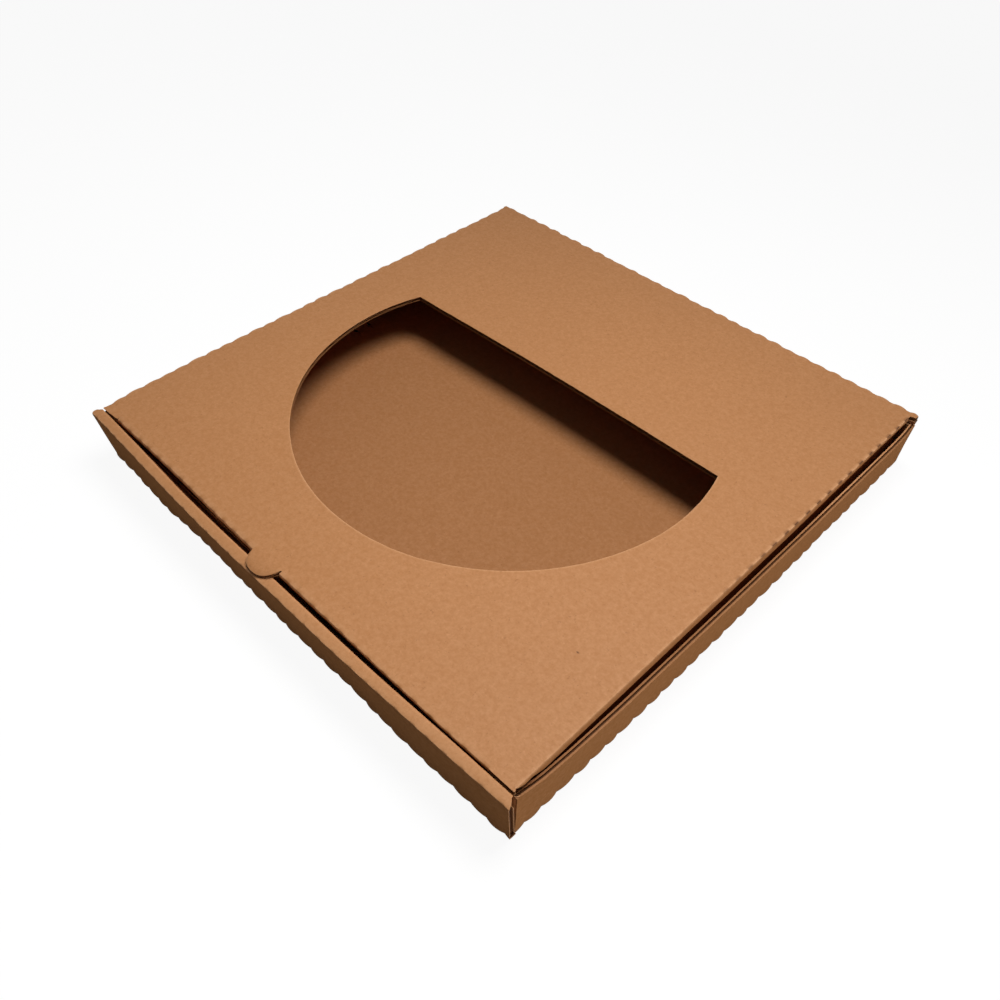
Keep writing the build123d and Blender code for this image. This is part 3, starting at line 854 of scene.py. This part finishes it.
def front_wall():
    """The rolled front wall: outer panel, top strip, and inner panel down to the floor."""
    t = stations(-1, 1, STEP / CROSS_HALF)
    at = t * CROSS_HALF
    bulge_low, nick_low = scallop(at, PITCH, 71)
    bulge_top, nick_top = scallop(at, PITCH, 73)
    bl = 0.95 * (bulge_low - 0.62)
    bt = 0.30 * (bulge_top - 0.62)
    wob = drift(at, 75)
    base_y = soft_interp(
        at, [-168, -146, -136, -126, -106, -92, -76, -46, -16, 14, 44, 64, 84, 114, 124, 134, 154, 168],
        [-166.3, -166.9, -167.3, -168.05, -168.75, -168.1, -167.6, -168.3, -168.75, -169.2, -169.05, -168.7,
         -169.65, -169.7, -169.35, -168.8, -168.8, -167.9], 6.0)
    ridge_y = soft_interp(
        at, [-168, -139, -109, -80, -50, -25, 20, 50, 80, 110, 130, 150, 168],
        [-170.8, -171.6, -172.6, -173.4, -174.0, -174.1, -173.8, -173.8, -173.3, -172.7, -172.6, -171.9,
         -171.1])
    ridge_y = ridge_y + 0.10 * drift(at, 77, 12.0)
    strip_z = soft_interp(at, [-168, -150, -120, -80, -40, 60, 90, 115, 135, 168],
                          [37.1, 36.9, 36.1, 35.0, 34.6, 34.6, 35.0, 35.9, 36.5, 36.7])
    ridge_z = strip_z - 0.65 + 0.08 * drift(at, 79, 14.0)
    strip_y = soft_interp(
        at, [-168, -141, -111, -82, -52, -27, 18, 49, 79, 109, 130, 150, 168],
        [-164.85, -165.5, -166.4, -167.6, -167.8, -167.7, -167.55, -167.35, -167.2, -166.7, -166.3, -166.0,
         -165.5])

    def panel(z):
        k = (z - LEAN_LOW) / (ridge_z - LEAN_LOW)
        return base_y + (ridge_y - base_y) * k - 0.35 * wob * np.sin(math.pi * np.clip(k, 0, 1))

    z_up = [4.0, 8.0, 13.0, 18.0, 23.0, 27.5, 30.4]
    fold_in, fold_z = foot_fold(bl)
    rise = strip_z - ridge_z
    roll_y, roll_z = strip_y + 0.15, strip_z - 1.4
    y_rows = [base_y + r for r in fold_in] + [panel(z) for z in z_up]
    y_rows += [ridge_y + 0.02 - 0.8 * bt, ridge_y + 0.25 - 0.7 * bt, ridge_y + 0.8 - 0.3 * bt, ridge_y + 1.8,
               (ridge_y + strip_y) / 2 + 0.5, strip_y - 1.5, strip_y - 0.5, strip_y - 0.05, roll_y]
    z_rows = fold_z + z_up
    z_rows += [ridge_z - 0.7, ridge_z - 0.1 + 0.25 * bt, ridge_z + 0.2 + 0.15 * bt,
               ridge_z + 0.2 + 0.25 * rise, ridge_z + 0.15 + 0.6 * rise, strip_z - 0.1, strip_z - 0.04,
               strip_z - 0.3, roll_z]
    z_down = [26.0, 18.0, 10.0, 3.35]
    y_down = [roll_y + (LOCK_Y - roll_y) * (roll_z - z) / (roll_z - FLOOR) for z in z_down]
    y_rows += y_down
    z_rows += z_down
    # Where each row ends, to the right and to the left
    right = [166.9] * 5 + list(np.linspace(167.1, 168.5, 7)) + [
        168.7, 168.8, 168.7, 168.2, 167.3, 166.4, 166.0, 165.8, 163.5] + [161.0] * 4
    left = [165.6] * 5 + list(np.linspace(165.7, 166.7, 7)) + [
        166.9, 167.3, 167.7, 168.0, 167.6, 166.5, 165.7, 165.5, 164.9] + [161.0] * 4
    under_y, under_z = ridge_y + BOARD, ridge_z - 2.6
    roof_y, roof_z = np.maximum(strip_y - BOARD, under_y + 0.1), strip_z - BOARD - 0.2
    y_in = [base_y + r for r in (SEAM, 3.6, 3.3, 3.1, 3.05)] + [panel(z) + BOARD for z in z_up]
    y_in += [under_y - 0.05, under_y, under_y + 0.02, under_y + 0.05, (under_y + roof_y) / 2, roof_y - 0.05,
             roof_y, roof_y + 0.05, roof_y + 0.1] + [y - BOARD for y in y_down]
    z_in = FOLD_IN_Z + [WALL_IN_Z] + z_up[1:5] + [27.0, 29.2]
    z_in += [under_z - 0.2, under_z, under_z + 0.05, under_z + 0.1, (under_z + roof_z) / 2, roof_z,
             roof_z - 0.02, roof_z - 0.1, roof_z - 0.6] + z_down
    across = [(r - l) / 2 + t * (r + l) / 2 for r, l in zip(right, left)]
    outer = rows(*zip(across, y_rows, z_rows))
    inner = rows(*zip(across, y_in, z_in))
    wear_and_highlight, shade_and_speck = np.zeros((2, *outer.shape[:2]))
    # The foot fold is made paler on its bulges and its nicks get painted shade; the ridge and the strip's inner
    # edge get painted highlights, the strip a painted sheen that grows towards the right, and the ridge's nicks
    # painted shade
    wear_and_highlight[:, 3] = 0.20 * (1 - nick_low)
    shade_and_speck[:, 3] = 0.30 * nick_low
    ridge = 13  # the row on the ridge, where the top strip starts
    wear_and_highlight[:, ridge] = 0.55 * (1 - 0.5 * nick_top)
    wear_and_highlight[:, ridge + 1] = 0.30
    wear_and_highlight[:, ridge + 2:ridge + 5] = (0.10 + 0.16 * np.clip((at + 100.0) / 220.0, 0, 1))[:, None]
    wear_and_highlight[:, ridge + 5] = 0.35
    shade_and_speck[:, ridge - 1] = 0.10 * nick_top
    shade_and_speck[:, ridge] = 0.05 * nick_top
    for part, slot in ((np.s_[:, :ridge + 1], WALL), (np.s_[:, ridge:], FACE)):
        tray.grid(outer[part], wear_and_highlight[part], shade_and_speck[part], mat=slot)
    tray.grid(inner, flip=True, mat=INSIDE)
    for k, step in ((0, 1), (-1, -2)):
        tray.cut(outer[k], inner[k], unit(outer[step] - outer[k]), depth=1.6)
    tray.cut(outer[:, -1], inner[:, -1], unit(outer[:, -2] - outer[:, -1]), waves=at)

    # Two lock tabs, down through the floor's slots
    for c in LOCK_MIDDLES:
        x = np.linspace(c - LOCK_HALF, c + LOCK_HALF, 40)
        outer = rows(*[(x, LOCK_Y + 0.05 * k, z) for k, z in enumerate((3.4, 2.2, 1.2, 0.35))])
        tray.sheet(outer, outer - np.array([0, BOARD, 0]), last_waves=x)


def back_wall():
    """The back wall, up to the fold that the lid turns on."""
    t = stations(-1, 1, STEP / CROSS_HALF)
    at = t * CROSS_HALF
    bulge, nick = scallop(at, PITCH, 81)
    b = np.minimum(0.70 * (bulge - 0.62), 0.1)
    bulge_top, _ = scallop(at, PITCH, 51)
    bt = 0.40 * (bulge_top - 0.75)
    wob = 0.3 * drift(at, 83)
    z_up = [4.0, 9.0, 15.0, 21.0, 27.0, 31.5, 33.6]
    swell = [0.0, 0.3, 0.6, 0.7, 0.4, 0.1, 0.0]
    fold_in, fold_z = foot_fold(b)
    wall = [BACK_Y - 0.25 + s * wob for s in swell]
    y_rows = [BACK_Y - r for r in fold_in] + wall + [BACK_Y - 0.1 + 0.6 * bt]
    y_rows[4] = y_rows[4] - 0.1
    top = 34.4
    z_rows = fold_z + z_up + [top]
    y_in = [BACK_Y - r for r in FOLD_IN] + [y - BOARD for y in wall] + [BACK_Y - BOARD]
    z_in = FOLD_IN_Z + [WALL_IN_Z] + z_up[1:] + [top]
    ends_x = [FOOT_HALF] * 5 + list(np.linspace(166.6, 168.4, 7)) + [168.5]
    outer = rows(*[(t * e, y, z) for e, y, z in zip(ends_x, y_rows, z_rows)])[::-1]
    inner = rows(*[(t * e, y, z) for e, y, z in zip(ends_x, y_in, z_in)])[::-1]
    wear_and_highlight, shade_and_speck = np.zeros((2, *outer.shape[:2]))
    # The foot fold is made paler on its bulges and its nicks get painted shade
    wear_and_highlight[:, 3] = 0.2 * (1 - nick[::-1])
    shade_and_speck[:, 3] = 0.3 * nick[::-1]
    tray.sheet(outer, inner, wear_and_highlight, shade_and_speck, mat=WALL)


def floor_panel():
    """The floor, between the folds' seams, with the two lock slots."""
    side_y = stations(SIDE_FRONT, SIDE_BACK)
    side_x = FOOT_HALF - SEAM + foot_bow(side_y)
    loop = [(x, SIDE_FRONT) for x in np.linspace(-side_x[0], side_x[0], 60)[:-1]]
    loop += list(zip(side_x, side_y))
    loop += [(x, SIDE_BACK) for x in np.linspace(side_x[-1], -side_x[-1], 60)[1:-1]]
    loop += list(zip(-side_x[::-1], side_y[::-1]))[:-1]
    slots = []
    for c in LOCK_MIDDLES:
        left, right = c - SLOT_HALF, c + SLOT_HALF
        corners = np.array([(left, SLOT_FRONT), (right, SLOT_FRONT), (right, SLOT_BACK), (left, SLOT_BACK)])
        points = []
        for a, b in zip(corners, np.roll(corners, -1, 0)):
            n = max(2, int(np.hypot(*(b - a)) / 1.5))
            points += [a + (b - a) * k / n for k in range(n)]
        slots.append(np.array(points))
    loops = [np.array(loop)] + slots
    tray.fill(loops, FLOOR, 8.0, mat=INSIDE)
    tray.fill(loops, 0.0, 8.0, up=False, mat=WALL)
    # A slot's edges, by how far they lie from its middle
    almost = np.array([SLOT_HALF - 0.1, (SLOT_BACK - SLOT_FRONT) / 2 - 0.05])
    for s in slots:
        off = s - s.mean(0)
        away = np.where(np.abs(off) > almost, np.sign(off), 0.0)
        tray.cut(at_height(s, FLOOR), at_height(s, 0.0), unit(at_height(away, 0.0)), closed=True)


floor_panel()
side_wall(1, 61)
side_wall(-1, 64)
front_wall()
back_wall()
for side in (1, -1):
    for back in (True, False):
        corner_tab(side, back)

tray_piece = tray.object("tray_board", [tray_face, tray_edge, inner_face, wall_face])
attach(tray_piece, "tray")
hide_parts("tray")


# Floor, light and camera

def background_ray(nodes, links):
    """1 for the rays that show the background: from the camera, mirrored or passed through."""
    path = nodes.new("ShaderNodeLightPath")
    shown = path.outputs["Is Camera Ray"]
    for key in ("Is Glossy Ray", "Is Transmission Ray"):
        either = nodes.new("ShaderNodeMath")
        either.operation = "MAXIMUM"
        links.new(shown, either.inputs[0])
        links.new(path.outputs[key], either.inputs[1])
        shown = either.outputs[0]
    return shown


def stage_floor():
    """A pale floor that the camera sees as nearly white and that throws little light back at the box."""
    mesh = bpy.data.meshes.new("floor")
    half, height = 6.0, -0.0003
    corners = [(-half, -half, height), (half, -half, height), (half, half, height), (-half, half, height)]
    mesh.from_pydata(corners, [], [(0, 1, 2, 3)])
    obj = bpy.data.objects.new("floor", mesh)
    bpy.context.scene.collection.objects.link(obj)
    mat = bpy.data.materials.new("studio_floor")
    mat.use_nodes = True
    nodes, links = mat.node_tree.nodes, mat.node_tree.links
    nodes.clear()
    out = nodes.new("ShaderNodeOutputMaterial")
    seen = nodes.new("ShaderNodeBsdfDiffuse")
    seen.inputs["Color"].default_value = (0.11, 0.11, 0.11, 1)
    glow = nodes.new("ShaderNodeEmission")
    glow.inputs["Color"].default_value = (1, 1, 1, 1)
    glow.inputs["Strength"].default_value = 0.93
    add = nodes.new("ShaderNodeAddShader")
    links.new(seen.outputs[0], add.inputs[0])
    links.new(glow.outputs[0], add.inputs[1])
    dim = nodes.new("ShaderNodeBsdfDiffuse")
    dim.inputs["Color"].default_value = (0.20, 0.19, 0.18, 1)
    choose = nodes.new("ShaderNodeMixShader")
    links.new(background_ray(nodes, links), choose.inputs[0])
    links.new(dim.outputs[0], choose.inputs[1])
    links.new(add.outputs[0], choose.inputs[2])
    links.new(choose.outputs[0], out.inputs["Surface"])
    mesh.materials.append(mat)


def lamp(name, at, aim, size, power, colour, size_y=None):
    """A soft lamp turned towards aim: a disk, or a strip when it has size_y."""
    data = bpy.data.lights.new(name, "AREA")
    data.shape = "RECTANGLE" if size_y else "DISK"
    data.size = size
    if size_y:
        data.size_y = size_y
    data.energy = power
    data.color = colour
    obj = bpy.data.objects.new(name, data)
    bpy.context.scene.collection.objects.link(obj)
    obj.location = at
    obj.rotation_euler = (Vector(aim) - Vector(at)).to_track_quat("-Z", "Y").to_euler()


stage_floor()
world = bpy.data.worlds.new("studio")
bpy.context.scene.world = world
world.use_nodes = True
wn, wl = world.node_tree.nodes, world.node_tree.links
background = wn["Background"]
background.inputs["Color"].default_value = (1, 1, 1, 1)
strength = wn.new("ShaderNodeMapRange")
strength.inputs["To Min"].default_value = 0.065
strength.inputs["To Max"].default_value = 1.0
wl.new(background_ray(wn, wl), strength.inputs["Value"])
wl.new(strength.outputs["Result"], background.inputs["Strength"])

STRIP = 0.038  # height of the low strip lamps, in metres: as high as the box
lamp("key", (0.102, 0.097, 0.717), (0.143, -0.718, 0.03), 0.45, 5.6, (1.0, 0.995, 0.985))
lamp("right", (0.75, -0.05, 0.022), (0.17, -0.05, 0.022), 1.1, 1.6, (1.0, 0.97, 0.93), STRIP)
lamp("front", (-0.55, -0.75, 0.022), (-0.08, -0.17, 0.022), 0.6, 0.46, (1.0, 0.98, 0.96), STRIP)

# The camera, solved from the lid's outline in the photo
SENSOR = 36.0
FOCAL_PX, PHOTO_PX = 930.57, 1000.0
CAMERA_AT = (0.2821, -0.2945, 0.3898)
YAW, PITCH_DOWN, ROLL = 44.38, 46.241, 0.83
cam_data = bpy.data.cameras.new("camera")
cam_data.sensor_width = SENSOR
cam_data.sensor_fit = "HORIZONTAL"
cam_data.lens = FOCAL_PX * SENSOR / PHOTO_PX
cam_data.clip_start = 0.01
camera = bpy.data.objects.new("camera", cam_data)
bpy.context.scene.collection.objects.link(camera)
yaw, pitch, roll = (math.radians(v) for v in (YAW, PITCH_DOWN, ROLL))
forward = Vector((-math.sin(yaw) * math.cos(pitch), math.cos(yaw) * math.cos(pitch), -math.sin(pitch)))
level_right = Vector((math.cos(yaw), math.sin(yaw), 0.0))
level_up = level_right.cross(forward)
right = math.cos(roll) * level_right + math.sin(roll) * level_up
up = right.cross(forward)
turn = Matrix((right, up, -forward)).transposed()
camera.matrix_world = Matrix.Translation(CAMERA_AT) @ turn.to_4x4()
bpy.context.scene.camera = camera
bpy.context.scene.view_settings.view_transform = "Standard"
